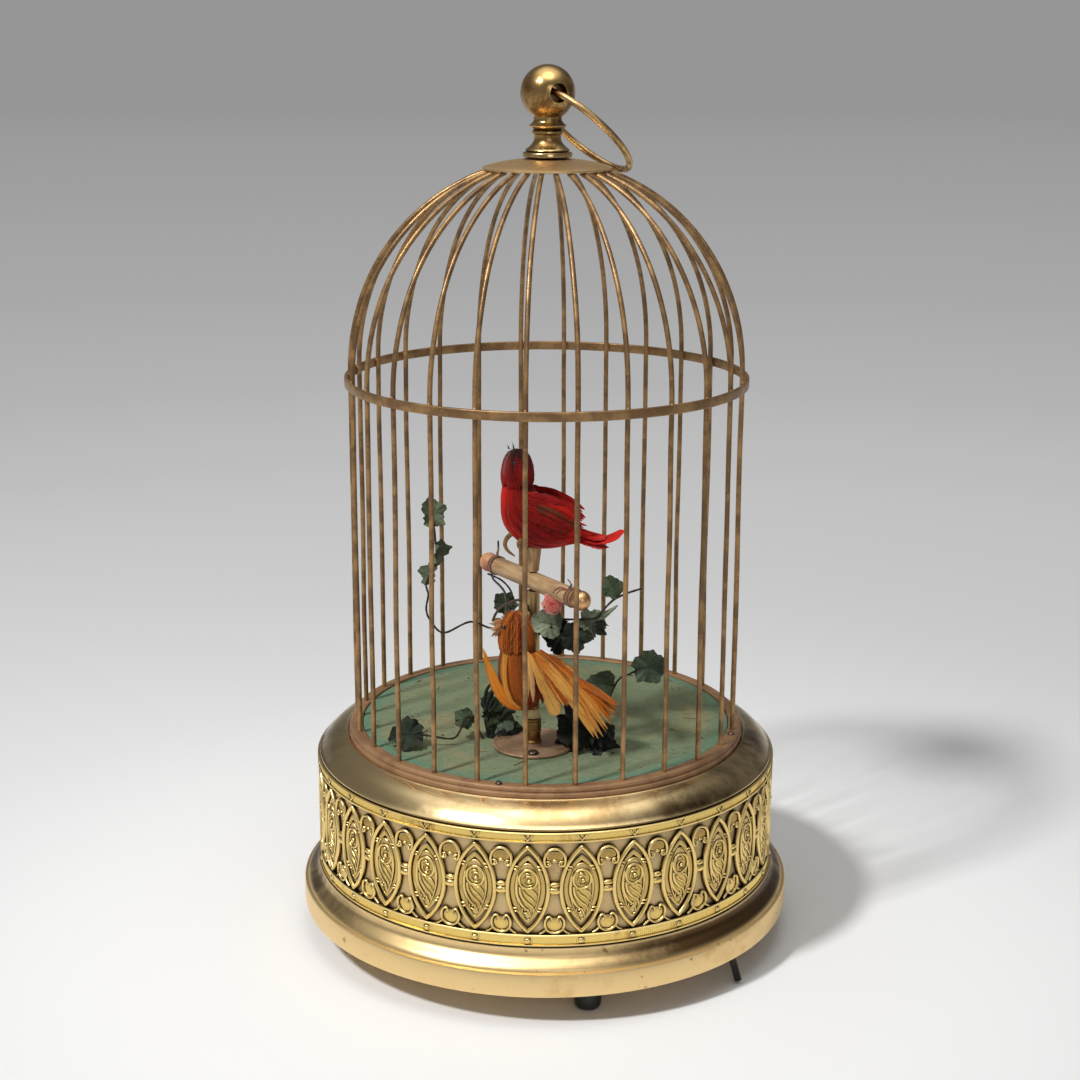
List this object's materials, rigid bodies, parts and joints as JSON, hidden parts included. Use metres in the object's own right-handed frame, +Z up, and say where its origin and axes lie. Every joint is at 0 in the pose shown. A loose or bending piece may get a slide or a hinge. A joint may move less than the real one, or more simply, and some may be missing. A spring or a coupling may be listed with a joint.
{
  "type": "singing bird automaton",
  "caption": "Domed brass wire bird cage on a round base with a pierced band; two feathered birds on a stand turn, sing and bob over a wind-up clockwork, bellows and whistle.",
  "frame": {"origin": "middle of the base, in the plane of the feet", "axes": "+Z up through the ball, front of the base towards -Y, +X to the viewer's right"},
  "size_m": [0.1624, 0.1624, 0.2826],
  "materials": {
    "gilt_brass": "polished, worn lacquer",
    "tarnished_brass": "aged, brown tarnish",
    "wire_brass": "drawn, aged",
    "copper_brown": "brown patina",
    "movement_brass": "turned, satin",
    "steel": "satin",
    "blackened_steel": "black, satin",
    "ebonised_wood": "black, satin",
    "board_wood": "bare",
    "bellows_leather": "thin, matt",
    "green_felt": "flocked, matt",
    "red_feather": "feathered, matt",
    "orange_feather": "feathered, matt",
    "beak_horn": "dark, satin",
    "pale_wood": "waxed",
    "bone": "ivory coloured, satin",
    "leaf_cloth": "waxed cloth, matt",
    "rose_cloth": "cloth, matt"
  },
  "bodies": {
    "base": {"bellows_leather": "bellows_leather", "bird_stem": "bone", "bottom_flange": "gilt_brass", "bottom_plate": "tarnished_brass", "cage_base_ring": "copper_brown", "cage_wires_back": "wire_brass", "cage_wires_front": "wire_brass", "crown_disc": "tarnished_brass", "drum_wall": "tarnished_brass", "finial": "gilt_brass", "floor_board": "board_wood", "floor_felt": "green_felt", "floor_sprig_left": "leaf_cloth", "floor_sprig_right": "leaf_cloth", "foot_1": "ebonised_wood", "foot_2": "ebonised_wood", "foot_3": "ebonised_wood", "frame_plate_lower": "movement_brass", "frame_plate_upper": "movement_brass", "gallery_band": "gilt_brass", "orange_bird_body": "orange_feather", "orange_bird_wing_far": "orange_feather", "orange_bird_wing_near": "orange_feather", "perch_knob": "gilt_brass", "perch_rod": "pale_wood", "perch_sprig": "leaf_cloth", "post_collar": "bone", "red_bird_body": "red_feather", "red_bird_wing_far": "red_feather", "red_bird_wing_near": "red_feather", "ring_screw_1": "blackened_steel", "ring_screw_2": "blackened_steel", "rose": "rose_cloth", "stand_plate": "copper_brown", "stand_post": "movement_brass", "stand_screw": "steel", "top_moulding": "gilt_brass", "vine_left": "leaf_cloth", "whistle_tube": "movement_brass", "wind_chest": "board_wood"},
    "handle": {"handle_ring": "gilt_brass"},
    "start_lever": {"start_stop_lever": "blackened_steel"},
    "winding": {"winding_arbor": "steel", "winding_key": "steel"},
    "barrel": {"mainspring_barrel": "movement_brass", "mainspring": "steel"},
    "crank": {"crank_arbor": "steel"},
    "fly": {"governor_fly": "steel"},
    "cams": {"cam_stack": "steel"},
    "click": {"ratchet_click": "steel"},
    "bellows": {"bellows_board": "board_wood"},
    "piston": {"whistle_piston": "steel"},
    "head_lever": {"head_lever": "steel"},
    "rod": {"turning_rod": "steel"},
    "red_head": {"red_bird_head": "red_feather"},
    "red_beak": {"red_bird_beak": "beak_horn"},
    "red_tail": {"red_bird_tail": "red_feather"},
    "orange_head": {"orange_bird_head": "orange_feather"},
    "orange_beak": {"orange_bird_beak": "beak_horn"},
    "orange_tail": {"orange_bird_tail": "orange_feather"}
  },
  "joints": [
    {"name": "handle_ring_swing", "type": "hinge", "parent": "base", "child": "handle", "pos_m": [0, 0, 0.27413], "axis": [0.4274, -0.9041, 0], "range_deg": [0, 265]},
    {"name": "start_stop_swing", "type": "hinge", "parent": "base", "child": "start_lever", "pos_m": [0.04443, -0.03728, 0.0115], "axis": [0, 0, 1], "range_deg": [-6, 8]},
    {"name": "winding_turn", "type": "hinge", "parent": "base", "child": "winding", "pos_m": [0.022, 0.006, 0.035], "axis": [0, 0, 1], "continuous": true},
    {"name": "barrel_turn", "type": "hinge", "parent": "base", "child": "barrel", "pos_m": [0.022, 0.006, 0.035], "axis": [0, 0, 1], "continuous": true},
    {"name": "crank_turn", "type": "hinge", "parent": "base", "child": "crank", "pos_m": [-0.0054, 0.006, 0.035], "axis": [0, 0, 1], "continuous": true},
    {"name": "fly_turn", "type": "hinge", "parent": "base", "child": "fly", "pos_m": [-0.01806, 0.01866, 0.035], "axis": [0, 0, 1], "continuous": true},
    {"name": "cam_turn", "type": "hinge", "parent": "base", "child": "cams", "pos_m": [0.0083, -0.01773, 0.035], "axis": [0, 0, 1], "continuous": true},
    {"name": "click_lift", "type": "hinge", "parent": "base", "child": "click", "pos_m": [0.026, -0.0082, 0.0195], "axis": [0, 0, 1], "range_deg": [0, 12]},
    {"name": "bellows_beat", "type": "hinge", "parent": "base", "child": "bellows", "pos_m": [-0.0565, -0.025, 0.0283], "axis": [1, 0, 0], "range_deg": [0, 7], "deforming": ["bellows_leather"]},
    {"name": "piston_slide", "type": "slide", "parent": "base", "child": "piston", "axis": [1, 0, 0], "range_m": [-0.006, 0.008]},
    {"name": "head_lever_swing", "type": "hinge", "parent": "base", "child": "head_lever", "pos_m": [-0.02, -0.014, 0.05], "axis": [0, 0, 1], "range_deg": [-6, 6]},
    {"name": "rod_turn", "type": "hinge", "parent": "base", "child": "rod", "pos_m": [-0.004, -0.027, 0.1], "axis": [0, 0, 1], "range_deg": [-24, 24]},
    {"name": "red_head_turn", "type": "hinge", "parent": "base", "child": "red_head", "pos_m": [-0.009, -0.027, 0.1571], "axis": [0, 0, 1], "range_deg": [-24, 24]},
    {"name": "red_beak_open", "type": "hinge", "parent": "red_head", "child": "red_beak", "pos_m": [-0.01167, -0.027, 0.16795], "axis": [0, -1, 0], "range_deg": [0, 14]},
    {"name": "red_tail_bob", "type": "hinge", "parent": "base", "child": "red_tail", "pos_m": [0.0089, -0.027, 0.141], "axis": [0, -1, 0], "range_deg": [0, 7]},
    {"name": "orange_head_turn", "type": "hinge", "parent": "base", "child": "orange_head", "pos_m": [-0.0094, -0.0346, 0.1063], "axis": [0, 0, 1], "range_deg": [-18, 18]},
    {"name": "orange_beak_open", "type": "hinge", "parent": "orange_head", "child": "orange_beak", "pos_m": [-0.01532, -0.0346, 0.11221], "axis": [0, -1, 0], "range_deg": [0, 14]},
    {"name": "orange_tail_bob", "type": "hinge", "parent": "base", "child": "orange_tail", "pos_m": [-0.0005, -0.0346, 0.098], "axis": [0, -1, 0], "range_deg": [0, 7]}
  ],
  "couplings": [
    {"joint": "crank_turn", "follows": "barrel_turn", "ratio": -4},
    {"joint": "fly_turn", "follows": "barrel_turn", "ratio": 16},
    {"joint": "cam_turn", "follows": "barrel_turn", "ratio": 1},
    {"joint": "rod_turn", "follows": "head_lever_swing", "ratio": -4},
    {"joint": "red_head_turn", "follows": "head_lever_swing", "ratio": -4},
    {"joint": "orange_head_turn", "follows": "head_lever_swing", "ratio": -3},
    {"joint": "red_beak_open", "follows": "red_tail_bob", "ratio": 2},
    {"joint": "orange_beak_open", "follows": "orange_tail_bob", "ratio": 2}
  ]
}
